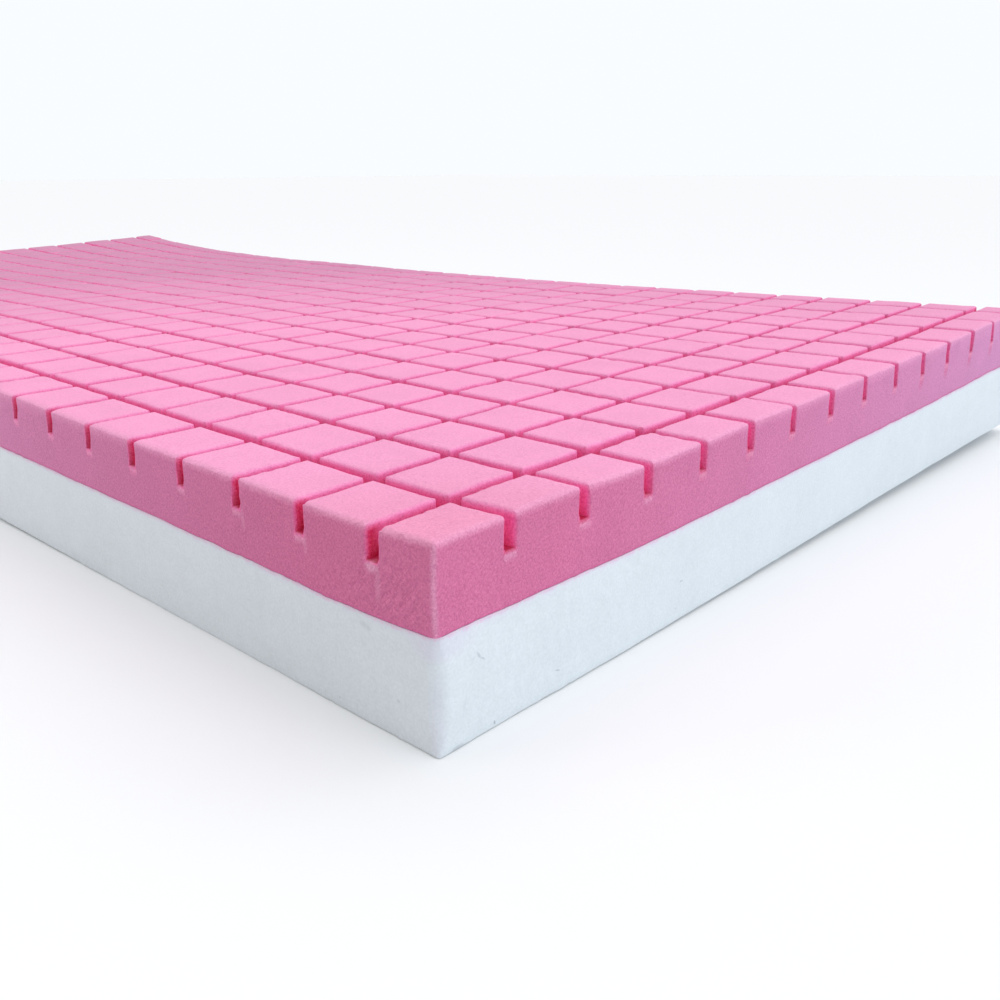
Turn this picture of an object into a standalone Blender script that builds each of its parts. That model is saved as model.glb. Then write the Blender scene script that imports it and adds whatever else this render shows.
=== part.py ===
"""Hospital bed mattress core: a pink foam layer cross-cut into square blocks, glued on a white foam base.

Metres, +Z up. The length runs along X and the width along Y. The origin is at the middle of the underside.
The mattress lies flat, except that the two corners of its +Y side curl up a little off the surface.
"""

import bmesh
import bpy

LENGTH = 1.900
WIDTH = 0.900
HEIGHT = 0.120
TOP_LAYER_THICKNESS = 0.052
GLUE_LINE = 0.0003

# The relief cuts in the top make square blocks. The outermost blocks are cut down by the edges.
CUT_PITCH = 0.062
CUT_WIDTH = 0.007
CUT_DEPTH = 0.020
CROSSWAYS_CUTS = 30
LENGTHWAYS_CUTS = 14
END_BLOCK_LENGTH = 0.046
SIDE_BLOCK_WIDTH = 0.055

# The curl of each corner of the +Y side: where it starts along X, where it ends, and how high the corner is.
CORNER_CURLS = (
    {"start_x": -0.20, "end_x": LENGTH / 2, "height": 0.020},
    {"start_x": -0.45, "end_x": -LENGTH / 2, "height": 0.024},
)
CURL_START_Y = -0.30
CURL_GROWTH_ACROSS = 1.5
CURL_GROWTH_ALONG = 2
# The underside curls up by this share of what the crown does, because the soft foam sags back.
UNDERSIDE_CURL_SHARE = 0.55

# The glued faces and the underside follow the curl in flat facets.
FACETS_TO_PLUS_X = 8
FACETS_TO_MINUS_X = 5
FACETS_ACROSS = 6

TINY = 1e-5
PINK = (0.87, 0.31, 0.52, 1.0)
WHITE = (0.76, 0.82, 0.88, 1.0)
FOAM_ROUGHNESS = 0.95


def clear_scene():
    for thing in list(bpy.data.objects):
        bpy.data.objects.remove(thing)


def lift(x, y):
    """How far the crown is curled up at a place."""
    across = max(0.0, (y - CURL_START_Y) / (WIDTH / 2 - CURL_START_Y)) ** CURL_GROWTH_ACROSS
    height = 0.0
    for curl in CORNER_CURLS:
        along = max(0.0, (x - curl["start_x"]) / (curl["end_x"] - curl["start_x"]))
        height += curl["height"] * along**CURL_GROWTH_ALONG
    return height * across


def divide(start, end, count):
    """Evenly spaced places from the start towards the end, which is left out."""
    return [start + (end - start) * step / count for step in range(count)]


def facet_lines():
    """Where the facets of a curled face meet, along X and along Y."""
    plus, minus = CORNER_CURLS
    along = divide(plus["start_x"], plus["end_x"], FACETS_TO_PLUS_X)
    along += divide(minus["start_x"], minus["end_x"], FACETS_TO_MINUS_X)
    return along, divide(CURL_START_Y, WIDTH / 2, FACETS_ACROSS)


def cut_edges(first_cut, direction, count):
    """Both edges of each relief cut, counted from the first."""
    middles = [first_cut + direction * CUT_PITCH * step for step in range(count)]
    return [middle + side * CUT_WIDTH / 2 for middle in middles for side in (-1, 1)]


def slab(bottom, top):
    bm = bmesh.new()
    bmesh.ops.create_cube(bm, size=1.0)
    bmesh.ops.scale(bm, vec=(LENGTH, WIDTH, top - bottom), verts=bm.verts)
    bmesh.ops.translate(bm, vec=(0.0, 0.0, (bottom + top) / 2), verts=bm.verts)
    return bm


def faces_at(bm, level):
    """The level faces at one height."""
    return [face for face in bm.faces if all(abs(vert.co.z - level) < TINY for vert in face.verts)]


def score(bm, level, lines_along, lines_across):
    """Split the level faces at one height along straight lines, and leave the slab's sides whole."""
    for axis, lines in (((1, 0, 0), lines_along), ((0, 1, 0), lines_across)):
        for line in lines:
            faces = faces_at(bm, level)
            edges = {edge for face in faces for edge in face.edges}
            verts = {vert for face in faces for vert in face.verts}
            place = [line * part for part in axis]
            bmesh.ops.bisect_plane(
                bm, geom=[*verts, *edges, *faces], dist=TINY, plane_co=place, plane_no=axis
            )


def fold_facets(bm, level):
    """Split each four-sided facet at one height from its -X -Y corner, so that glued faces fold alike."""
    for face in faces_at(bm, level):
        corners = sorted(face.verts, key=lambda vert: vert.co.x + vert.co.y)
        bmesh.utils.face_split(face, corners[0], corners[-1])


def raise_blocks(bm, level):
    """Raise the blocks between the cuts, and leave the floors of the cuts where they are."""
    blocks = []
    for face in faces_at(bm, level):
        spans = [max(v.co[axis] for v in face.verts) - min(v.co[axis] for v in face.verts) for axis in (0, 1)]
        if min(spans) > CUT_WIDTH + TINY:
            blocks.append(face)
    rims = list({edge for block in blocks for edge in block.edges})
    raised = bmesh.ops.extrude_face_region(bm, geom=blocks + rims)["geom"]
    verts = [item for item in raised if isinstance(item, bmesh.types.BMVert)]
    bmesh.ops.translate(bm, vec=(0.0, 0.0, CUT_DEPTH), verts=verts)


def curl(bm):
    for vert in bm.verts:
        share = UNDERSIDE_CURL_SHARE + (1 - UNDERSIDE_CURL_SHARE) * vert.co.z / HEIGHT
        vert.co.z += share * lift(vert.co.x, vert.co.y)


def foam(name, colour):
    material = bpy.data.materials.new(name)
    material.use_nodes = True
    shader = material.node_tree.nodes["Principled BSDF"]
    shader.inputs["Base Color"].default_value = colour
    shader.inputs["Roughness"].default_value = FOAM_ROUGHNESS
    shader.inputs["Metallic"].default_value = 0.0
    material.diffuse_color = colour
    return material


def finish(bm, name, material):
    bmesh.ops.recalc_face_normals(bm, faces=bm.faces)
    mesh = bpy.data.meshes.new(name)
    bm.to_mesh(mesh)
    bm.free()
    mesh.materials.append(material)
    bpy.context.scene.collection.objects.link(bpy.data.objects.new(name, mesh))


def make_base_layer():
    top = HEIGHT - TOP_LAYER_THICKNESS - GLUE_LINE
    bm = slab(0.0, top)
    for level in (0.0, top):
        score(bm, level, *facet_lines())
        fold_facets(bm, level)
    curl(bm)
    finish(bm, "base_layer", foam("white_foam", WHITE))


def make_top_layer():
    bottom = HEIGHT - TOP_LAYER_THICKNESS
    cut_floor = HEIGHT - CUT_DEPTH
    bm = slab(bottom, cut_floor)
    score(bm, bottom, *facet_lines())
    fold_facets(bm, bottom)
    crossways = cut_edges(LENGTH / 2 - END_BLOCK_LENGTH, -1, CROSSWAYS_CUTS)
    lengthways = cut_edges(SIDE_BLOCK_WIDTH - WIDTH / 2, 1, LENGTHWAYS_CUTS)
    score(bm, cut_floor, crossways, lengthways)
    raise_blocks(bm, cut_floor)
    curl(bm)
    finish(bm, "top_layer", foam("pink_foam", PINK))


clear_scene()
make_base_layer()
make_top_layer()
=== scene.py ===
"""The looks of the hospital bed mattress: a cross-cut sheet of pink foam glued on a white foam base.

Metres, +Z up. The length runs along X, the width along Y, and the corner towards the camera is at +X -Y.
Each foam sheet is made flat, refined, softened at its edges and roughened, and then curled as the solids are.
"""

import math
from bisect import bisect

import bmesh
import bpy
from mathutils import Matrix, Vector, noise


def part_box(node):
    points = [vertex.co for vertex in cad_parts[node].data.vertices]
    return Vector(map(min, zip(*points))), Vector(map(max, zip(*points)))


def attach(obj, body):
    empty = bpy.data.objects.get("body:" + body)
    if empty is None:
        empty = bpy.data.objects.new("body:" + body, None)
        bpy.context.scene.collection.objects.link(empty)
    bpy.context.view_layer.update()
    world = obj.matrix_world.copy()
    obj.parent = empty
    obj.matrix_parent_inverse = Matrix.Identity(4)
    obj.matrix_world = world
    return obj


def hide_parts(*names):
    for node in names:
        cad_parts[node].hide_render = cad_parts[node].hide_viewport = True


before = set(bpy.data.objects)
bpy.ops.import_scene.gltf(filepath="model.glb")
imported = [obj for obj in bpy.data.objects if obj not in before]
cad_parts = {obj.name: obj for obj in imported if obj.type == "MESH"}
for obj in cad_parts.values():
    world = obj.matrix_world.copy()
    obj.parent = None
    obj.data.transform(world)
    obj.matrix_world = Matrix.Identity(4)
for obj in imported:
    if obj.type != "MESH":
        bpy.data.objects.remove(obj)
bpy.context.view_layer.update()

BASE_LOW, BASE_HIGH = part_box("base_layer")
TOP_LOW, TOP_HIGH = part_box("top_layer")

# The relief cuts, as the solids have them, counted from the corner at +X -Y.
CUT_PITCH = 0.062
CUT_WIDTH = 0.007
CUT_WIDTH_SPREAD = 0.0006
FIRST_CUT_EXTRA = 0.0016
CUT_WANDER = 0.0005
CUT_DEPTH = 0.020
ALONG = {"first": TOP_HIGH.x, "last": TOP_LOW.x, "way": -1, "block": 0.046, "cuts": 30}
ACROSS = {"first": TOP_LOW.y, "last": TOP_HIGH.y, "way": 1, "block": 0.055, "cuts": 14}

# The curl of each corner of the +Y side, as the solids have it.
CORNER_CURLS = (
    {"start_x": -0.20, "end_x": TOP_HIGH.x, "height": 0.020},
    {"start_x": -0.45, "end_x": TOP_LOW.x, "height": 0.024},
)
CURL_START_Y = -0.30
CURL_GROWTH_ACROSS = 1.5
CURL_GROWTH_ALONG = 2
UNDERSIDE_CURL_SHARE = 0.55

FLOOR = BASE_LOW.z
SEAM = TOP_LOW.z
CROWN = TOP_HIGH.z - CORNER_CURLS[1]["height"]
CUT_FLOOR = CROWN - CUT_DEPTH
GLUED_FACE_DRAWN_BACK = 0.0006
GLUED_FACE_INSET = 0.012
GLUE_GAP = 0.0001

# Places where the mattress is uneven: how far its foot, seam and crown stand from true.
UNEVEN_PLACES = (
    {"x": 0.74, "y": -0.45, "reach_x": 0.24, "reach_y": 0.14, "foot": 0.0, "seam": 0.0, "crown": -0.0022},
    {"x": 0.87, "y": -0.45, "reach_x": 0.09, "reach_y": 0.12, "foot": 0.0, "seam": -0.0019, "crown": -0.0022},
    {"x": 0.30, "y": -0.45, "reach_x": 0.24, "reach_y": 0.12, "foot": 0.0025, "seam": 0.0050, "crown": 0.0},
    {"x": 0.10, "y": -0.25, "reach_x": 0.40, "reach_y": 0.30, "foot": 0.0, "seam": 0.0, "crown": 0.0030},
    {"x": 0.95, "y": 0.15, "reach_x": 0.22, "reach_y": 0.42, "foot": 0.0036, "seam": 0.0, "crown": 0.0},
    {"x": 0.95, "y": -0.36, "reach_x": 0.10, "reach_y": 0.06, "foot": 0.0, "seam": 0.0009, "crown": 0.0022},
    {"x": 0.95, "y": -0.45, "reach_x": 0.03, "reach_y": 0.05, "foot": 0.0, "seam": 0.0012, "crown": 0.0012},
)

# How round each kind of edge is.
SIDE_CROWN_RADIUS = 0.0040
BLOCK_CROWN_RADIUS = 0.0021
PINK_UPRIGHT_RADIUS = 0.0040
WHITE_UPRIGHT_RADIUS = {"foot": 0.0025, "middle": 0.0115, "seam": 0.0060}
BLOCK_CORNER_RADIUS = 0.0020
SEAM_EDGE_RADIUS = 0.0004
FLOOR_EDGE_RADIUS = 0.0003

# Facets are small by the near corner and grow away from it.
NEAR_CORNER = Vector((TOP_HIGH.x, TOP_LOW.y, CROWN))
FINEST_FACET = 0.0016
FACET_GROWTH = 0.0138
COARSEST_FACET = 0.016
UPRIGHT_FACET_STRETCH = 1.6
REFINING_PASSES = 11
SMOOTH_BELOW = 50

CAMERA_AT = (1.2735, -0.7521, 0.2889)
CAMERA_AZIMUTH = 42.82
CAMERA_DIP = 18.52
CAMERA_ROLL = -0.31
CAMERA_LENS = 35.72

# How much of the painted light and shade of the cuts shows along their edges.
GROOVE_SHADE_AT_ITS_EDGE = 0.5
# The foam stands out a little in a lip under the end of each cut.
LIP_PROUD = 0.0004
LIP_REACH = 0.004

# One edge of each cut is torn in places near the corner.
TEAR_FINENESS = 260.0
TEAR_DEPTH = 0.0024
TEAR_REACH = 0.20

# How much each block leans and stands differently, and the share of its rise below which it stays put.
BLOCK_LEAN = 0.0010
BLOCK_STAND = 0.0008
BLOCK_ROOT = 0.001

# How the knife and the foam wander: over a hand's breadth, over a finger's breadth, and at each edge.
BROAD_WANDER = {"fineness": 9.0, "push": 0.0008}
NARROW_WANDER = {"fineness": 45.0, "push": 0.0004, "start": Vector((7, 3, 1))}
RAGGED_WANDER = {"fineness": 170.0, "push": 0.0006, "start": Vector((2, 9, 4))}
RAGGED_PLACES_FINENESS = 16.0
STEADY_FOOT = 0.02
# Without a seed the wander would be different in every run.
WANDER_SEED = 1

# Two places nearer than this are the same.
HAIR = 1e-6


def clamp(value, low, high):
    return min(max(value, low), high)


def fade(distance, reach):
    """1 at a place, falling smoothly to nothing a few reaches away."""
    return math.exp(-((distance / reach) ** 2))


def lift(x, y):
    """How far the mattress is off the floor at a place."""
    across = max(0.0, (y - CURL_START_Y) / (TOP_HIGH.y - CURL_START_Y)) ** CURL_GROWTH_ACROSS
    height = 0.0
    for curl in CORNER_CURLS:
        along = max(0.0, (x - curl["start_x"]) / (curl["end_x"] - curl["start_x"]))
        height += curl["height"] * along**CURL_GROWTH_ALONG
    return height * across


def cut_edges(axis):
    """Where both walls of every cut stand along an axis, lowest first. The saw wandered a little."""
    edges = []
    for number in range(axis["cuts"]):
        drift = noise.cell_vector(Vector((number + 0.5, axis["way"] + 0.5, 0.5))) - Vector((0.5, 0.5, 0.5))
        middle = axis["first"] + axis["way"] * (axis["block"] + CUT_PITCH * number)
        middle += 2 * CUT_WANDER * drift.x
        width = CUT_WIDTH + 2 * CUT_WIDTH_SPREAD * drift.y
        if number == 0:
            width += FIRST_CUT_EXTRA
        edges += [middle - width / 2, middle + width / 2]
    return sorted(edges)


CUTS_ALONG = cut_edges(ALONG)
CUTS_ACROSS = cut_edges(ACROSS)
WALLS_ALONG = [TOP_LOW.x, *CUTS_ALONG, TOP_HIGH.x]
WALLS_ACROSS = [TOP_LOW.y, *CUTS_ACROSS, TOP_HIGH.y]


def in_cut(place, edges):
    return bisect(edges, place) % 2 == 1


def grid_lines(low, high, edges):
    """Both ends of every block, and a line a little inside each for the round of its edge."""
    walls = [low, *edges, high]
    places = []
    for start, end in zip(walls[::2], walls[1::2]):
        start_row = SIDE_CROWN_RADIUS if start == low else BLOCK_CROWN_RADIUS
        end_row = SIDE_CROWN_RADIUS if end == high else BLOCK_CROWN_RADIUS
        places += [start, start + start_row, end - end_row, end]
    return places


def level_grid(places_x, places_y, level):
    bm = bmesh.new()
    bmesh.ops.create_grid(bm, x_segments=len(places_x) - 1, y_segments=len(places_y) - 1, size=0.5)
    for vert in bm.verts:
        column = round((vert.co.x + 0.5) * (len(places_x) - 1))
        row = round((vert.co.y + 0.5) * (len(places_y) - 1))
        vert.co = (places_x[column], places_y[row], level)
    return bm


def raise_blocks(bm):
    blocks = []
    for face in bm.faces:
        middle = face.calc_center_median()
        if not in_cut(middle.x, CUTS_ALONG) and not in_cut(middle.y, CUTS_ACROSS):
            blocks.append(face)
    borders = list({edge for block in blocks for edge in block.edges})
    raised = bmesh.ops.extrude_face_region(bm, geom=blocks + borders)["geom"]
    verts = [item for item in raised if isinstance(item, bmesh.types.BMVert)]
    bmesh.ops.translate(bm, vec=(0.0, 0.0, CUT_DEPTH), verts=verts)


def cut_level(bm, level):
    """A line of facets right round at a level."""
    bmesh.ops.bisect_plane(
        bm, geom=[*bm.verts, *bm.edges, *bm.faces], dist=HAIR, plane_co=(0, 0, level), plane_no=(0, 0, 1)
    )


def carry_walls(bm, ring, levels):
    """Carry a ring of edges on to each level in turn, and give the last ring."""
    for level in levels:
        made = bmesh.ops.extrude_edge_only(bm, edges=ring)["geom"]
        verts = {item for item in made if isinstance(item, bmesh.types.BMVert)}
        for vert in verts:
            vert.co.z = level
        edges = [item for item in made if isinstance(item, bmesh.types.BMEdge)]
        ring = [edge for edge in edges if verts.issuperset(edge.verts)]
    return ring


def facet_wanted(place):
    return min(FINEST_FACET + FACET_GROWTH * (place - NEAR_CORNER).length, COARSEST_FACET)


def refine(bm):
    """Halve every edge that is too long for its place, until none is."""
    for step in range(REFINING_PASSES):
        long_edges = []
        for edge in bm.edges:
            start, end = edge.verts[0].co, edge.verts[1].co
            wanted = facet_wanted((start + end) / 2)
            if abs(start.z - end.z) > abs(start.x - end.x) + abs(start.y - end.y):
                wanted *= UPRIGHT_FACET_STRETCH
            if (end - start).length > wanted:
                long_edges.append(edge)
        if not long_edges:
            break
        bmesh.ops.subdivide_edges(bm, edges=long_edges, cuts=1, use_grid_fill=True)


def close_with_grid(bm, ring, level, low, high):
    """Close a ring with a coarse grid at another level and a band of triangles round it."""
    made = bmesh.ops.create_grid(bm, x_segments=ALONG["cuts"], y_segments=ACROSS["cuts"], size=0.5)["verts"]
    size, middle = high - low, (low + high) / 2
    for vert in made:
        vert.co.x = middle.x + vert.co.x * (size.x - 2 * GLUED_FACE_INSET)
        vert.co.y = middle.y + vert.co.y * (size.y - 2 * GLUED_FACE_INSET)
        vert.co.z = level
    inner = list({edge for vert in made for edge in vert.link_edges if edge.is_boundary})
    bmesh.ops.triangle_fill(bm, use_beauty=True, use_dissolve=False, edges=[*ring, *inner])


def nearest_wall(place, walls):
    """The number of the nearest block wall: a block starts at an even one and ends at the next."""
    after = bisect(walls, place)
    near = [number for number in (after - 1, after) if 0 <= number < len(walls)]
    return min(near, key=lambda number: abs(walls[number] - place))


def inset(place, walls):
    """The nearest wall, which way leads into its block, and whether it is an outer wall of the sheet."""
    number = nearest_wall(place, walls)
    return walls[number], 1 - 2 * (number % 2), number in (0, len(walls) - 1)


def onto_round(first, second, radius):
    """Two distances in from the faces that meet at an edge, moved on to the round of that edge."""
    a, b = radius - first, radius - second
    reach = math.hypot(a, b)
    if a <= 0 or b <= 0 or reach <= radius:
        return first, second
    return radius - a * radius / reach, radius - b * radius / reach


def pink_upright_radius(z):
    """The pink foam's upright corners are as round all the way up."""
    return PINK_UPRIGHT_RADIUS


def white_upright_radius(z):
    """The white foam's upright corners are rounder halfway up than at the foot and the seam."""
    radius, rise = WHITE_UPRIGHT_RADIUS, z / SEAM
    even = radius["foot"] + (radius["seam"] - radius["foot"]) * rise
    return even + (radius["middle"] - even) * math.sin(math.pi * clamp(rise, 0, 1)) ** 0.7


def soften_edges(bm, low, high, cuts, upright_radius, foot_radius):
    """Round the edges of a sheet, and of the blocks that stand on it."""
    for vert in bm.verts:
        place = vert.co
        above = cuts[0] and place.z > CUT_FLOOR + HAIR
        edges_x, edges_y = cuts if above else ((), ())
        wall_x, into_x, outer_x = inset(place.x, [low.x, *edges_x, high.x])
        wall_y, into_y, outer_y = inset(place.y, [low.y, *edges_y, high.y])
        in_x, in_y = into_x * (place.x - wall_x), into_y * (place.y - wall_y)
        under, over = high.z - place.z, place.z - low.z
        upright = upright_radius(place.z) if outer_x and outer_y else BLOCK_CORNER_RADIUS
        in_x, in_y = onto_round(in_x, in_y, upright)
        if above:
            in_x, under = onto_round(in_x, under, SIDE_CROWN_RADIUS if outer_x else BLOCK_CROWN_RADIUS)
            in_y, under = onto_round(in_y, under, SIDE_CROWN_RADIUS if outer_y else BLOCK_CROWN_RADIUS)
            vert.co.z = high.z - under
        elif under < over:
            in_x, under = onto_round(in_x, under, SEAM_EDGE_RADIUS)
            in_y, under = onto_round(in_y, under, SEAM_EDGE_RADIUS)
            vert.co.z = high.z - under
        else:
            in_x, over = onto_round(in_x, over, foot_radius)
            in_y, over = onto_round(in_y, over, foot_radius)
            vert.co.z = low.z + over
        vert.co.x = wall_x + into_x * in_x
        vert.co.y = wall_y + into_y * in_y


def raise_lips(bm):
    """Push the outer faces out a little just under the end of each cut."""
    for vert in bm.verts:
        end, side = outer_distances(vert.co)
        if min(end, side) > HAIR or abs(end - side) < SIDE_CROWN_RADIUS:
            continue
        below = fade(vert.co.z - CUT_FLOOR + LIP_REACH / 2, LIP_REACH / 2)
        proud = LIP_PROUD * below * fade(beside_cut(vert.co), LIP_REACH)
        if end < side:
            vert.co.x += math.copysign(proud, vert.co.x)
        else:
            vert.co.y += math.copysign(proud, vert.co.y)


def settle_blocks(bm):
    """Each block leans and stands a little differently."""
    for vert in bm.verts:
        rise = (vert.co.z - CUT_FLOOR) / CUT_DEPTH
        if rise > BLOCK_ROOT:
            column = nearest_wall(vert.co.x, WALLS_ALONG) // 2
            row = nearest_wall(vert.co.y, WALLS_ACROSS) // 2
            lean = noise.cell_vector(Vector((column + 0.5, row + 0.5, 0.5))) - Vector((0.5, 0.5, 0.5))
            shift = Vector((lean.x * BLOCK_LEAN, lean.y * BLOCK_LEAN, lean.z * BLOCK_STAND))
            vert.co += shift * min(rise, 1)


def tear_edges(bm):
    """Small bites out of each block near the corner, along the edge that the saw left ragged, each bite
    painted with the cuts' shade.
    """
    groove_shade = bm.verts.layers.float["groove_shade"]
    for vert in bm.verts:
        wall, into, outer = inset(vert.co.x, WALLS_ALONG)
        across = inset(vert.co.y, WALLS_ACROSS)[0]
        at_edge = HAIR < vert[groove_shade] < 1 - HAIR and abs(vert.co.x - wall) < abs(vert.co.y - across)
        if at_edge and into > 0:
            bite = TEAR_DEPTH * clamp(3 * noise.noise(vert.co * TEAR_FINENESS) - 0.3, 0, 1)
            bite *= fade((vert.co - NEAR_CORNER).length, TEAR_REACH)
            vert.co.x += bite
            vert.co.z -= bite / 2
            # Painted shade in each bite, in the colour of the cuts.
            vert[groove_shade] += (1 - vert[groove_shade]) * bite / TEAR_DEPTH


def roughen(bm):
    """The knife and the foam wander from true: slowly over a hand's breadth, and raggedly at each edge."""
    for vert in bm.verts:
        place = vert.co
        ragged = clamp(0.4 + 1.6 * noise.noise(place * RAGGED_PLACES_FINENESS), 0.1, 1.4)
        push = noise.noise_vector(place * BROAD_WANDER["fineness"]) * BROAD_WANDER["push"]
        narrow = place * NARROW_WANDER["fineness"] + NARROW_WANDER["start"]
        push += noise.noise_vector(narrow) * NARROW_WANDER["push"]
        edge = place * RAGGED_WANDER["fineness"] + RAGGED_WANDER["start"]
        push += noise.noise_vector(edge) * RAGGED_WANDER["push"] * ragged
        push.z *= clamp(place.z / STEADY_FOOT, 0, 1)
        vert.co += push


def height_between(z, foot, seam, crown):
    """A value that runs evenly from the foot to the seam, and from the seam to the crown."""
    if z < SEAM:
        return foot + (seam - foot) * max(z, 0.0) / SEAM
    return seam + (crown - seam) * (z - SEAM) / (CROWN - SEAM)


def make_uneven(bm):
    for vert in bm.verts:
        x, y, z = vert.co
        for row in UNEVEN_PLACES:
            weight = fade(x - row["x"], row["reach_x"]) * fade(y - row["y"], row["reach_y"])
            vert.co.z += weight * height_between(z, row["foot"], row["seam"], row["crown"])


def curl(bm):
    for vert in bm.verts:
        share = UNDERSIDE_CURL_SHARE + (1 - UNDERSIDE_CURL_SHARE) * vert.co.z / CROWN
        vert.co.z += share * lift(vert.co.x, vert.co.y)


def paint(bm, name, amount_at):
    """Keep an amount at every vertex, worked out on the flat sheet, for a material to read."""
    layer = bm.verts.layers.float.new(name)
    for vert in bm.verts:
        vert[layer] = amount_at(vert.co)


def outer_distances(place):
    """How far a place is in from the nearer end and the nearer side."""
    return (
        min(TOP_HIGH.x - place.x, place.x - TOP_LOW.x),
        min(TOP_HIGH.y - place.y, place.y - TOP_LOW.y),
    )


def from_crown_edge(place):
    """How far a place is from the outer edge of the crown."""
    return math.hypot(CROWN - place.z, min(outer_distances(place)))


def from_side(place):
    """How far a place is in from the nearest outer face."""
    return min(outer_distances(place))


def from_upright_corner(place):
    return math.hypot(*outer_distances(place))


def groove_shade_amount(place):
    """Where the cuts' painted light and shade go: 1 on the walls and floors of the cuts, less along their
    edges.
    """
    if place.z < CUT_FLOOR - HAIR:
        return 0.0
    along, across = edge_distance(place.x, CUTS_ALONG), edge_distance(place.y, CUTS_ACROSS)
    if min(along, across) > HAIR:
        return 0.0
    return GROOVE_SHADE_AT_ITS_EDGE if min(outer_distances(place)) < HAIR or place.z > CROWN - HAIR else 1.0


def beside_cut(place):
    """On an outer face, how far along it a place is from the nearest cut."""
    end, side = outer_distances(place)
    return edge_distance(place.y, CUTS_ACROSS) if end < side else edge_distance(place.x, CUTS_ALONG)


def edge_distance(value, edges):
    """How far a place is from the nearest cut: nothing inside one."""
    if in_cut(value, edges):
        return 0.0
    return min(abs(edge - value) for edge in edges)


def below_crown(place):
    """How far down from the crown a place is, in cut depths."""
    return (CROWN - place.z) / CUT_DEPTH


def below_seam(place):
    return SEAM - place.z


def finished(bm, name, material):
    bmesh.ops.recalc_face_normals(bm, faces=bm.faces)
    mesh = bpy.data.meshes.new(name)
    bm.to_mesh(mesh)
    bm.free()
    mesh.shade_smooth()
    mesh.set_sharp_from_angle(angle=math.radians(SMOOTH_BELOW))
    mesh.materials.append(material)
    piece = bpy.data.objects.new(name, mesh)
    bpy.context.scene.collection.objects.link(piece)
    return piece


def make_pink_foam(material):
    low, high = Vector((TOP_LOW.x, TOP_LOW.y, SEAM)), Vector((TOP_HIGH.x, TOP_HIGH.y, CROWN))
    lines_x = grid_lines(low.x, high.x, CUTS_ALONG)
    lines_y = grid_lines(low.y, high.y, CUTS_ACROSS)
    bm = level_grid(lines_x, lines_y, CUT_FLOOR)
    raise_blocks(bm)
    cut_level(bm, CROWN - BLOCK_CROWN_RADIUS)
    ring = [edge for edge in bm.edges if edge.is_boundary]
    carry_walls(bm, ring, [SEAM + SEAM_EDGE_RADIUS, SEAM])
    refine(bm)
    ring = [edge for edge in bm.edges if edge.is_boundary]
    close_with_grid(bm, ring, SEAM + GLUED_FACE_DRAWN_BACK, low, high)
    paint(bm, "from_crown_edge", from_crown_edge)
    paint(bm, "from_upright_corner", from_upright_corner)
    paint(bm, "groove_shade", groove_shade_amount)
    paint(bm, "beside_cut", beside_cut)
    paint(bm, "below_crown", below_crown)
    paint(bm, "from_side", from_side)
    soften_edges(bm, low, high, (CUTS_ALONG, CUTS_ACROSS), pink_upright_radius, SEAM_EDGE_RADIUS)
    raise_lips(bm)
    tear_edges(bm)
    settle_blocks(bm)
    roughen(bm)
    make_uneven(bm)
    curl(bm)
    return finished(bm, "pink_foam", material)


def make_white_foam(material):
    low = Vector((BASE_LOW.x, BASE_LOW.y, FLOOR))
    high = Vector((BASE_HIGH.x, BASE_HIGH.y, SEAM - GLUE_GAP))
    bm = level_grid([low.x, high.x], [low.y, high.y], FLOOR)
    bmesh.ops.delete(bm, geom=list(bm.faces), context="FACES_ONLY")
    carry_walls(bm, list(bm.edges), [FLOOR + FLOOR_EDGE_RADIUS, high.z - SEAM_EDGE_RADIUS, high.z])
    refine(bm)
    rings = [edge for edge in bm.edges if edge.is_boundary]
    upper = [edge for edge in rings if edge.verts[0].co.z > SEAM / 2]
    lower = [edge for edge in rings if edge.verts[0].co.z < SEAM / 2]
    close_with_grid(bm, upper, high.z - GLUED_FACE_DRAWN_BACK, low, high)
    close_with_grid(bm, lower, FLOOR, low, high)
    paint(bm, "below_seam", below_seam)
    soften_edges(bm, low, high, ((), ()), white_upright_radius, FLOOR_EDGE_RADIUS)
    roughen(bm)
    make_uneven(bm)
    curl(bm)
    return finished(bm, "white_foam", material)


def add_node(tree, kind, inputs=None, **settings):
    """A node with its settings made and its inputs either linked or filled in."""
    made = tree.nodes.new(kind)
    for name, value in settings.items():
        setattr(made, name, value)
    for name, value in (inputs or {}).items():
        if isinstance(value, bpy.types.NodeSocket):
            tree.links.new(value, made.inputs[name])
        else:
            made.inputs[name].default_value = value
    return made


def new_finish(name):
    material = bpy.data.materials.new(name)
    material.use_nodes = True
    tree = material.node_tree
    return material, tree, tree.nodes["Principled BSDF"]


def object_place(tree):
    return add_node(tree, "ShaderNodeTexCoord").outputs["Object"]


def cloudy(tree, place, scale, detail=2.0, roughness=0.5):
    inputs = {"Vector": place, "Scale": scale, "Detail": detail, "Roughness": roughness}
    return add_node(tree, "ShaderNodeTexNoise", inputs).outputs["Fac"]


def ranged(tree, value, from_low, from_high, to_low, to_high, smooth=False):
    """One range of values carried over on to another, evenly or smoothly."""
    inputs = {"Value": value, "From Min": from_low, "From Max": from_high}
    inputs.update({"To Min": to_low, "To Max": to_high})
    kind = "SMOOTHSTEP" if smooth else "LINEAR"
    return add_node(tree, "ShaderNodeMapRange", inputs, interpolation_type=kind).outputs["Result"]


def combined(tree, operation, first, second):
    made = add_node(tree, "ShaderNodeMath", {0: first, 1: second}, operation=operation)
    return made.outputs["Value"]


def mixed(tree, amount, first, second):
    made = add_node(tree, "ShaderNodeMix", data_type="RGBA")
    for index, value in ((0, amount), (6, first), (7, second)):
        if isinstance(value, bpy.types.NodeSocket):
            tree.links.new(value, made.inputs[index])
        else:
            made.inputs[index].default_value = value
    return made.outputs[2]


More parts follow.
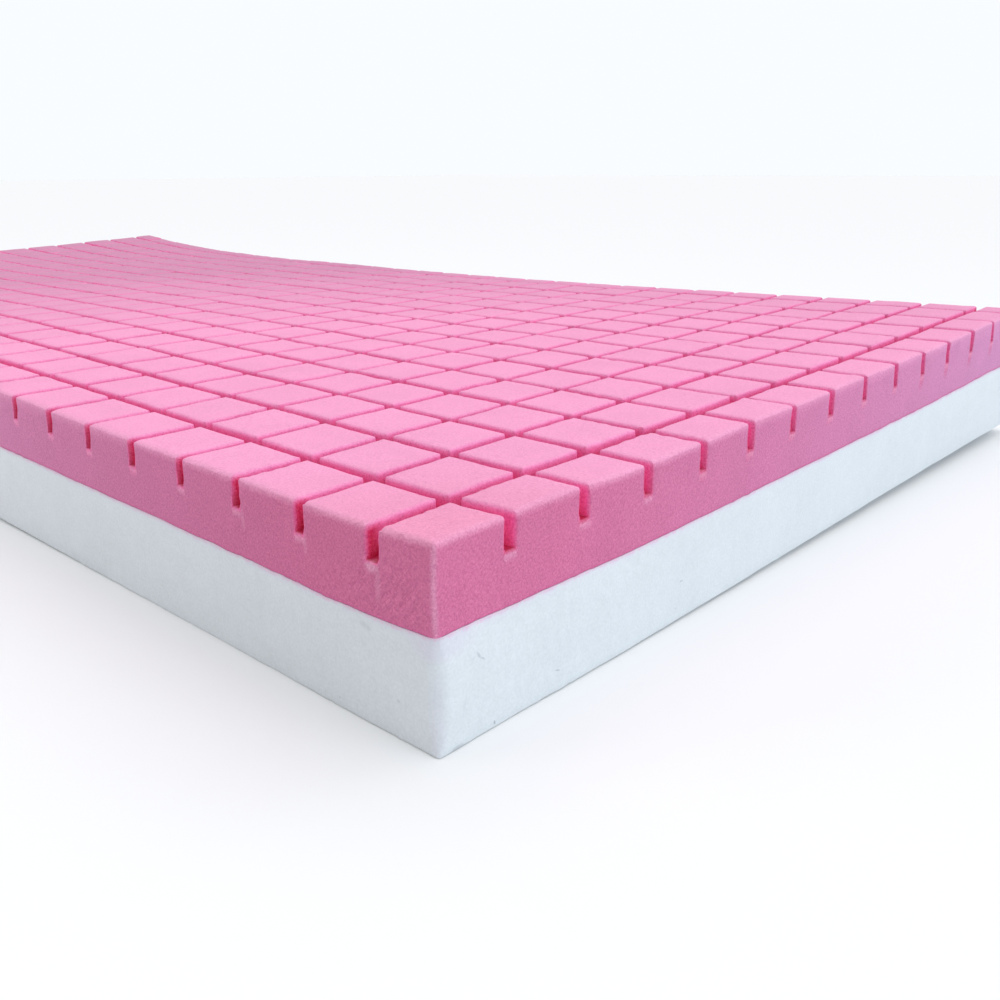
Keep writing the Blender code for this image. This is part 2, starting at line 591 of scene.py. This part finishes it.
def painted(tree, name):
    return add_node(tree, "ShaderNodeAttribute", attribute_name=name).outputs["Fac"]


# The side pinks are the foam painted deeper for the shade on its upright faces; the far one is paler away
# from the near corner.
PINK_SIDE_SHADED = (0.640, 0.170, 0.325, 1)
PINK_SIDE_SHADED_FAR = (0.65, 0.30, 0.53, 1)
# The crown pinks are painted lighter for the light that falls on the top: brightest a little way in from the
# near corner, darker right by it, and painted shade far from it.
PINK_CROWN_LIT_NEAR = (0.86, 0.325, 0.505, 1)
PINK_CROWN_LIT = (0.925, 0.372, 0.592, 1)
PINK_CROWN_SHADED_FAR = (0.65, 0.283, 0.435, 1)
# The cut colours are painted light and shade: hot pink for light bounced between the cut walls, darker deeper
# in, lighter on the walls of the lengthwise cuts where more light falls, and darkest on a cut's floor by its
# mouth.
PINK_GROOVE_BOUNCE_TOP = (0.99, 0.31, 0.60, 1)
PINK_GROOVE_BOUNCE = (0.99, 0.21, 0.49, 1)
PINK_DEEP_SHADE = (0.68, 0.036, 0.125, 1)
PINK_DEEP_SHADE_LENGTHWISE = (0.99, 0.15, 0.42, 1)
PINK_CUT_FLOOR_SHADE = (0.50, 0.025, 0.09, 1)
PINK_AT_SEAM = (0.66, 0.14, 0.32, 1)
# Pale pink for the painted highlights along the edges, and for the blade scratches, which are real marks.
PINK_HIGHLIGHT_AND_SCRATCH = (0.92, 0.50, 0.68, 1)
WHITE_SIDE = (0.728, 0.767, 0.800, 1)
WHITE_SHADE = (0.695, 0.735, 0.765, 1)
# Painted lilac shade under the seam, and a painted pink glow of light from the pink foam just below it.
WHITE_LILAC_SHADE = (0.70, 0.66, 0.78, 1)
WHITE_PINK_GLOW = (0.74, 0.46, 0.62, 1)
# Grey for the hairs and specks of dirt, and painted shade for the pinholes.
WHITE_DIRT_AND_HOLE_SHADE = (0.42, 0.45, 0.50, 1)

# How fine each pattern in the foam is, and how far it swings the shade.
PINK_GRAIN_FINENESS = 700.0
PINK_CELL_FINENESS = 1100.0
PINK_FLECK_FINENESS = 170.0
PINK_CLOUD_FINENESS = 22.0
PINK_GRAIN_SWING = 0.66
PINK_CELL_SWING = -0.20
PINK_FLECK_SWING = 0.06
PINK_CLOUD_SWING = 0.12
PINK_BUMP_HEIGHT = 0.0003
PINK_SHEEN = 0.15
WHITE_GRAIN_FINENESS = 520.0
WHITE_FLECK_FINENESS = 120.0
WHITE_CLOUD_FINENESS = 26.0
WHITE_BUMP_HEIGHT = 0.0005
WHITE_SHEEN = 0.2

# Where each colour of the pink foam gives way to the next: metres from the near corner.
SIDE_PALES = (0.1, 1.0)
# Where the crown's painted light brightens, and where its painted shade sets in far off.
CROWN_BRIGHTENS = (0.04, 0.16)
CROWN_DULLS = (0.7, 1.4)
# Metres in from the outer faces.
SIDE_COLOUR_ENDS = (0.003, 0.006)
CUT_MOUTH_ENDS = (0.003, 0.014)
# Cut depths below the crown.
SEAM_SHADE_DEPTHS = (2.48, 2.60)
MOUTH_SHADE_DEPTHS = (0.0, 0.25)
CUT_SHADE_DEPTHS = (0.15, 0.9)
# Where the painted bounced light near the top of a cut gives way to the deeper one.
GROOVE_TOP_DEPTHS = (0.04, 0.20)
# Where the painted highlight under the end of each cut starts and ends.
LIP_STARTS = (1.00, 1.14)
LIP_ENDS = (1.06, 1.38)

# How far a painted highlight reaches from each edge, and how strong it is.
CROWN_HIGHLIGHT = {"reach": 0.0060, "amount": 0.22}
CORNER_HIGHLIGHT = {"reach": 0.0042, "amount": 0.42}
LIP_HIGHLIGHT = {"reach": 0.0020, "amount": 0.42}

# How far down from the seam the white foam has painted lilac shade, and a painted pink glow of light from the
# pink foam.
SEAM_SHADE_REACH = 0.007
SEAM_GLOW_REACH = 0.0030

# Blade scratches on the pink foam's long near side, and the place where its nap lies over.
BLADE_SCRATCHES = (
    {"at": (0.9080, -0.450, 0.086), "size": (0.0034, 0.008, 0.015), "turn": (0, 0.06, 0), "strength": 0.18},
    {"at": (0.9035, -0.450, 0.095), "size": (0.0050, 0.008, 0.0055), "turn": (0, 0, 0), "strength": 0.26},
    {"at": (0.8470, -0.450, 0.092), "size": (0.0022, 0.008, 0.009), "turn": (0, 0.05, 0), "strength": 0.18},
    {"at": (0.7860, -0.450, 0.092), "size": (0.0024, 0.008, 0.009), "turn": (0, 0.05, 0), "strength": 0.18},
)
NAP_AT = (0.918, -0.450, 0.084)
NAP_SIZE = (0.044, 0.020, 0.028)
NAP_SLANT = -0.85
NAP_STRETCH = (8, 1, 1)
NAP_FINENESS = 800.0

# On the white foam, places painted a lilac shade at the upright corner below the seam, and small marks:
# pulled hairs, pinholes painted dark for the shade in them, and specks of dirt.
WHITE_LILAC_SHADE_PLACES = (
    {"at": (0.948, -0.448, 0.0620), "size": (0.024, 0.034, 0.012), "turn": (0, 0, 0), "strength": 0.45},
    {"at": (0.948, -0.448, 0.0200), "size": (0.007, 0.006, 0.040), "turn": (0, 0, 0), "strength": 0.22},
)
WHITE_MARKS = (
    {"at": (0.950, -0.4195, 0.0485), "size": (0.010, 0.0011, 0.0038), "turn": (0.55, 0, 0), "strength": 0.50},
    {"at": (0.950, -0.4165, 0.0455), "size": (0.010, 0.0008, 0.0028), "turn": (0.9, 0, 0), "strength": 0.45},
    {"at": (0.950, -0.4235, 0.0478), "size": (0.010, 0.0026, 0.0009), "turn": (0.3, 0, 0), "strength": 0.22},
    {"at": (0.950, -0.4080, 0.0034), "size": (0.010, 0.0011, 0.0018), "turn": (0.3, 0, 0), "strength": 0.85},
    {"at": (0.950, -0.355, 0.014), "size": (0.010, 0.0034, 0.0008), "turn": (-0.35, 0, 0), "strength": 0.55},
    {"at": (0.950, -0.2270, 0.0290), "size": (0.010, 0.0024, 0.0008), "turn": (0, 0, 0), "strength": 0.60},
    {"at": (0.950, -0.2320, 0.0110), "size": (0.010, 0.0014, 0.0010), "turn": (0, 0, 0), "strength": 0.35},
    {"at": (0.950, -0.431, 0.022), "size": (0.010, 0.0012, 0.010), "turn": (-0.25, 0, 0), "strength": 0.14},
    {"at": (0.950, -0.4364, 0.0010), "size": (0.012, 0.0070, 0.0022), "turn": (0, 0, 0), "strength": 0.45},
    {"at": (0.9203, -0.450, 0.0230), "size": (0.0016, 0.010, 0.0014), "turn": (0, 0, 0), "strength": 0.32},
    {"at": (0.8700, -0.450, 0.0060), "size": (0.0010, 0.010, 0.0011), "turn": (0, 0, 0), "strength": 0.45},
    {"at": (0.8962, -0.450, 0.0592), "size": (0.0070, 0.010, 0.0024), "turn": (0, 0.2, 0), "strength": 0.24},
)


def oval(tree, place, at, size, turn=(0, 0, 0)):
    """1 inside an oval about a place, fading to nothing at its rim."""
    inputs = {"Vector": place, "Location": at, "Rotation": turn, "Scale": size}
    local = add_node(tree, "ShaderNodeMapping", inputs, vector_type="TEXTURE").outputs["Vector"]
    out = add_node(tree, "ShaderNodeVectorMath", {0: local}, operation="LENGTH").outputs["Value"]
    return ranged(tree, out, 0.3, 1.0, 1.0, 0.0, True)


def all_marks(tree, place, marks):
    """The strongest of a table of marks at each place."""
    total = None
    for row in marks:
        spot = oval(tree, place, row["at"], row["size"], row["turn"])
        spot = combined(tree, "MULTIPLY", spot, row["strength"])
        total = spot if total is None else combined(tree, "MAXIMUM", total, spot)
    return total


def cellular(tree, place, scale):
    """The open cells of foam: nothing at a cell's middle, more at its walls."""
    return add_node(tree, "ShaderNodeTexVoronoi", {"Vector": place, "Scale": scale}).outputs["Distance"]


def leaning_nap(tree, place):
    """Short fibres lying aslant, only where the nap shows."""
    inputs = {"Vector": place, "Rotation": (0, NAP_SLANT, 0), "Scale": NAP_STRETCH}
    along = add_node(tree, "ShaderNodeMapping", inputs, vector_type="TEXTURE").outputs["Vector"]
    fibres = ranged(tree, cloudy(tree, along, NAP_FINENESS, 1.0), 0.35, 0.65, -1.0, 1.0)
    return combined(tree, "MULTIPLY", fibres, oval(tree, place, NAP_AT, NAP_SIZE))


def facing_way(tree):
    """Which way the surface faces, as X, Y and Z shares."""
    normal = add_node(tree, "ShaderNodeNewGeometry").outputs["Normal"]
    return add_node(tree, "ShaderNodeSeparateXYZ", {0: normal}).outputs


def swung(tree, pattern, swing):
    """A pattern about a half made into a shade about 1, which swings by so much."""
    centred = combined(tree, "SUBTRACT", pattern, 0.5)
    return combined(tree, "ADD", combined(tree, "MULTIPLY", centred, swing), 1.0)


def varied(tree, colour, shades, fullness):
    """A colour made lighter and darker by several shades, each about 1, and fuller or paler by another."""
    total = shades[0]
    for shade in shades[1:]:
        total = combined(tree, "MULTIPLY", total, shade)
    inputs = {"Color": colour, "Value": total, "Saturation": fullness}
    return add_node(tree, "ShaderNodeHueSaturation", inputs).outputs["Color"]


def pink_base(tree, place, facing, grain):
    """The pink foam with painted light and shade: deeper pink on the sides than on the crown, and hot pink in
    the cuts for light bounced between their walls, with painted shade deeper in.
    """
    near = add_node(tree, "ShaderNodeVectorMath", {0: place, 1: NEAR_CORNER}, operation="DISTANCE")
    near = near.outputs["Value"]
    depth = painted(tree, "below_crown")
    # Painted shade on the sides, which are paler away from the near corner, and painted light on the crown,
    # darker by the near corner and far off.
    side = mixed(tree, ranged(tree, near, *SIDE_PALES, 0.0, 1.0), PINK_SIDE_SHADED, PINK_SIDE_SHADED_FAR)
    fuzzy = combined(tree, "ADD", depth, ranged(tree, grain, 0.3, 0.7, -0.08, 0.08))
    side = mixed(tree, ranged(tree, fuzzy, *SEAM_SHADE_DEPTHS, 0.0, 0.6, True), side, PINK_AT_SEAM)
    crown = mixed(tree, ranged(tree, near, *CROWN_BRIGHTENS, 0.0, 1.0), PINK_CROWN_LIT_NEAR, PINK_CROWN_LIT)
    crown = mixed(tree, ranged(tree, near, *CROWN_DULLS, 0.0, 1.0), crown, PINK_CROWN_SHADED_FAR)
    # Only the outer upright faces take the sides' painted shade.
    outer = ranged(tree, painted(tree, "from_side"), *SIDE_COLOUR_ENDS, 1.0, 0.0)
    upright = combined(tree, "MULTIPLY", outer, ranged(tree, facing["Z"], 0.1, 0.98, 1.0, 0.0))
    colour = mixed(tree, upright, crown, side)
    # In the cuts, painted light and shade: bounced light near the top, painted shade deeper in and on a cut's
    # floor by its mouth, and the walls of the lengthwise cuts painted lighter.
    lengthwise = add_node(tree, "ShaderNodeMath", {0: facing["Y"]}, operation="ABSOLUTE")
    deep = mixed(tree, lengthwise.outputs["Value"], PINK_DEEP_SHADE, PINK_DEEP_SHADE_LENGTHWISE)
    mouth = ranged(tree, painted(tree, "from_side"), *CUT_MOUTH_ENDS, 1.0, 0.0, True)
    level = combined(tree, "MULTIPLY", mouth, ranged(tree, facing["Z"], 0.3, 0.9, 0.0, 1.0))
    deep = mixed(tree, level, deep, PINK_CUT_FLOOR_SHADE)
    fall = combined(tree, "MULTIPLY", mouth, ranged(tree, depth, *MOUTH_SHADE_DEPTHS, 0.0, 1.0))
    fall = combined(tree, "MAXIMUM", fall, ranged(tree, depth, *CUT_SHADE_DEPTHS, 0.0, 1.0))
    inner = mixed(tree, ranged(tree, depth, *GROOVE_TOP_DEPTHS, 0.0, 1.0), PINK_GROOVE_BOUNCE_TOP, PINK_GROOVE_BOUNCE)
    inner = mixed(tree, fall, inner, deep)
    return mixed(tree, painted(tree, "groove_shade"), colour, inner)


def edge_highlight(tree, distance, highlight):
    """A painted highlight: palest at an edge, and not pale at all beyond its reach."""
    return ranged(tree, painted(tree, distance), 0.0, highlight["reach"], highlight["amount"], 0.0, True)


def painted_edge_highlight(tree, grain):
    """How strong the painted highlight is at the pink foam's crown edge, its upright corners and the lips
    under its cuts.
    """
    crown = edge_highlight(tree, "from_crown_edge", CROWN_HIGHLIGHT)
    corner = edge_highlight(tree, "from_upright_corner", CORNER_HIGHLIGHT)
    depth = painted(tree, "below_crown")
    lip = edge_highlight(tree, "beside_cut", LIP_HIGHLIGHT)
    lip = combined(tree, "MULTIPLY", lip, ranged(tree, depth, *LIP_STARTS, 0.0, 1.0, True))
    lip = combined(tree, "MULTIPLY", lip, ranged(tree, depth, *LIP_ENDS, 1.0, 0.0, True))
    pale = combined(tree, "MAXIMUM", combined(tree, "MAXIMUM", crown, corner), lip)
    return combined(tree, "MULTIPLY", pale, ranged(tree, grain, 0.35, 0.65, 0.7, 1.0))


def pink_finish():
    material, tree, shader = new_finish("pink_foam")
    place = object_place(tree)
    grain = cloudy(tree, place, PINK_GRAIN_FINENESS, 3.0, 0.7)
    cells = cellular(tree, place, PINK_CELL_FINENESS)
    fleck = cloudy(tree, place, PINK_FLECK_FINENESS, 3.0)
    cloud = cloudy(tree, place, PINK_CLOUD_FINENESS, 2.0)
    nap = leaning_nap(tree, place)
    facing = facing_way(tree)
    calm = ranged(tree, facing["Z"], 0.1, 0.98, 1.0, 0.70)
    colour = pink_base(tree, place, facing, grain)
    # Painted highlights along the edges; below, the real blade scratches in the same pale pink.
    colour = mixed(tree, painted_edge_highlight(tree, grain), colour, PINK_HIGHLIGHT_AND_SCRATCH)
    colour = mixed(tree, all_marks(tree, place, BLADE_SCRATCHES), colour, PINK_HIGHLIGHT_AND_SCRATCH)
    shades = [
        swung(tree, grain, combined(tree, "MULTIPLY", calm, PINK_GRAIN_SWING)),
        swung(tree, cells, combined(tree, "MULTIPLY", calm, PINK_CELL_SWING)),
        swung(tree, fleck, PINK_FLECK_SWING),
        swung(tree, cloud, PINK_CLOUD_SWING),
        ranged(tree, nap, -1.0, 1.0, 0.93, 1.07),
    ]
    fullness = ranged(tree, grain, 0.3, 0.7, 1.05, 0.95)
    tree.links.new(varied(tree, colour, shades, fullness), shader.inputs["Base Color"])
    tree.links.new(ranged(tree, grain, 0.3, 0.7, 0.85, 1.0), shader.inputs["Roughness"])
    height = combined(tree, "SUBTRACT", grain, combined(tree, "MULTIPLY", cells, 0.4))
    height = combined(tree, "ADD", height, combined(tree, "MULTIPLY", nap, 0.6))
    relief = {"Height": height, "Strength": calm, "Distance": PINK_BUMP_HEIGHT}
    bump = add_node(tree, "ShaderNodeBump", relief)
    tree.links.new(bump.outputs["Normal"], shader.inputs["Normal"])
    shader.inputs["Specular IOR Level"].default_value = PINK_SHEEN
    return material


def white_finish():
    material, tree, shader = new_finish("white_foam")
    place = object_place(tree)
    grain = cloudy(tree, place, WHITE_GRAIN_FINENESS, 3.0, 0.7)
    fleck = cloudy(tree, place, WHITE_FLECK_FINENESS, 3.0)
    cloud = cloudy(tree, place, WHITE_CLOUD_FINENESS, 3.0)
    colour = mixed(tree, ranged(tree, cloud, 0.35, 0.65, 0.0, 0.5, True), WHITE_SIDE, WHITE_SHADE)
    below = painted(tree, "below_seam")
    # Painted lilac shade under the seam.
    seam_shade = ranged(tree, below, 0.0, SEAM_SHADE_REACH, 0.7, 0.0, True)
    seam_shade = combined(tree, "MULTIPLY", seam_shade, ranged(tree, fleck, 0.4, 0.6, 0.2, 1.0))
    colour = mixed(tree, seam_shade, colour, WHITE_LILAC_SHADE)
    # Painted lilac shade at the upright corner.
    colour = mixed(tree, all_marks(tree, place, WHITE_LILAC_SHADE_PLACES), colour, WHITE_LILAC_SHADE)
    # A painted pink glow of light from the pink foam just below the seam, with a ragged edge.
    fuzzy = combined(tree, "ADD", below, ranged(tree, grain, 0.3, 0.7, 0.0013, -0.0013))
    fuzzy = combined(tree, "ADD", fuzzy, ranged(tree, fleck, 0.3, 0.7, 0.0005, -0.0005))
    pink_glow = ranged(tree, fuzzy, 0.0, SEAM_GLOW_REACH, 0.75, 0.0, True)
    colour = mixed(tree, pink_glow, colour, WHITE_PINK_GLOW)
    # Hairs and specks of dirt, and pinholes painted dark for the shade in them.
    colour = mixed(tree, all_marks(tree, place, WHITE_MARKS), colour, WHITE_DIRT_AND_HOLE_SHADE)
    shades = [
        ranged(tree, grain, 0.3, 0.7, 0.95, 1.05),
        ranged(tree, fleck, 0.3, 0.7, 0.985, 1.015),
    ]
    tree.links.new(varied(tree, colour, shades, 1.0), shader.inputs["Base Color"])
    tree.links.new(ranged(tree, grain, 0.3, 0.7, 0.8, 1.0), shader.inputs["Roughness"])
    height = combined(tree, "ADD", grain, fleck)
    relief = {"Height": height, "Strength": 0.3, "Distance": WHITE_BUMP_HEIGHT}
    bump = add_node(tree, "ShaderNodeBump", relief)
    tree.links.new(bump.outputs["Normal"], shader.inputs["Normal"])
    shader.inputs["Specular IOR Level"].default_value = WHITE_SHEEN
    return material


def floor_finish():
    material, _, shader = new_finish("floor_paint")
    shader.inputs["Base Color"].default_value = FLOOR_PAINT
    shader.inputs["Roughness"].default_value = 1.0
    shader.inputs["Specular IOR Level"].default_value = 0.0
    return material


def add_camera():
    data = bpy.data.cameras.new("camera")
    data.lens = CAMERA_LENS
    camera = bpy.data.objects.new("camera", data)
    turn = Matrix.Rotation(math.radians(CAMERA_AZIMUTH), 4, "Z")
    turn @= Matrix.Rotation(math.radians(90 - CAMERA_DIP), 4, "X")
    turn @= Matrix.Rotation(math.radians(CAMERA_ROLL), 4, "Z")
    camera.matrix_world = Matrix.Translation(CAMERA_AT) @ turn
    bpy.context.scene.collection.objects.link(camera)
    bpy.context.scene.camera = camera


LAMPS = (
    {
        "name": "by_the_end",
        "at": (3.0, 0.15, 0.7),
        "aim": (0.7, 0, 0.05),
        "size": (1.1, 1.0),
        "power": 7,
        "colour": (0.58, 0.84, 1.0),
    },
    {
        "name": "by_the_far_side",
        "at": (-0.9, -1.9, 0.7),
        "aim": (-0.2, -0.45, 0.05),
        "size": (1.6, 0.9),
        "power": 12,
        "colour": (0.97, 0.98, 1.0),
    },
)


def add_area_light(name, at, aim, size, power, colour):
    data = bpy.data.lights.new(name, "AREA")
    data.shape = "RECTANGLE"
    data.size, data.size_y = size
    data.energy = power
    data.color = colour
    light = bpy.data.objects.new(name, data)
    light.location = at
    light.rotation_euler = (Vector(aim) - Vector(at)).to_track_quat("-Z", "Y").to_euler()
    bpy.context.scene.collection.objects.link(light)


BRIGHT_SIDE = (0.25, 0.97, 0.0)
BRIGHT_AIR = (0.93, 0.96, 1.0, 1)
DIM_AIR = (0.245, 0.242, 0.238, 1)
BACKDROP = (0.95, 0.975, 1.0, 1)
SKYLIGHT_SPREAD = 90.0
SKYLIGHT_STRENGTH = 0.88
SKYLIGHT_COLOUR = (1.0, 0.985, 0.97)
SKYLIGHT_TILT = (-8, 6)
FLOOR_PAINT = (0.93, 0.93, 0.93, 1)
FLOOR_HALF_WIDTH = 30


def add_air():
    """Soft light from all round, dimmer from beyond the long near side, and a plain pale backdrop."""
    world = bpy.data.worlds.new("studio_air")
    bpy.context.scene.world = world
    world.use_nodes = True
    tree = world.node_tree
    way = add_node(tree, "ShaderNodeTexCoord").outputs["Generated"]
    towards = add_node(tree, "ShaderNodeVectorMath", {0: way, 1: BRIGHT_SIDE}, operation="DOT_PRODUCT")
    amount = ranged(tree, towards.outputs["Value"], -0.75, 0.05, 0.0, 1.0, True)
    air = mixed(tree, amount, DIM_AIR, BRIGHT_AIR)
    seen = add_node(tree, "ShaderNodeLightPath").outputs["Is Camera Ray"]
    tree.links.new(mixed(tree, seen, air, BACKDROP), tree.nodes["Background"].inputs["Color"])


def add_skylight():
    """A wide soft light from overhead, the same all over the floor."""
    data = bpy.data.lights.new("skylight", "SUN")
    data.angle = math.radians(SKYLIGHT_SPREAD)
    data.energy = SKYLIGHT_STRENGTH
    data.color = SKYLIGHT_COLOUR
    light = bpy.data.objects.new("skylight", data)
    light.rotation_euler = (math.radians(SKYLIGHT_TILT[0]), math.radians(SKYLIGHT_TILT[1]), 0)
    bpy.context.scene.collection.objects.link(light)


def add_studio():
    bm = bmesh.new()
    bmesh.ops.create_grid(bm, x_segments=1, y_segments=1, size=FLOOR_HALF_WIDTH)
    mesh = bpy.data.meshes.new("studio_floor")
    bm.to_mesh(mesh)
    bm.free()
    floor = bpy.data.objects.new("studio_floor", mesh)
    bpy.context.scene.collection.objects.link(floor)
    mesh.materials.append(floor_finish())
    add_air()
    add_skylight()
    for lamp in LAMPS:
        add_area_light(**lamp)
    bpy.context.scene.view_settings.view_transform = "Standard"


noise.seed_set(WANDER_SEED)
add_camera()
add_studio()
pink = make_pink_foam(pink_finish())
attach(pink, "root")
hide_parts("top_layer")
white = make_white_foam(white_finish())
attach(white, "root")
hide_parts("base_layer")
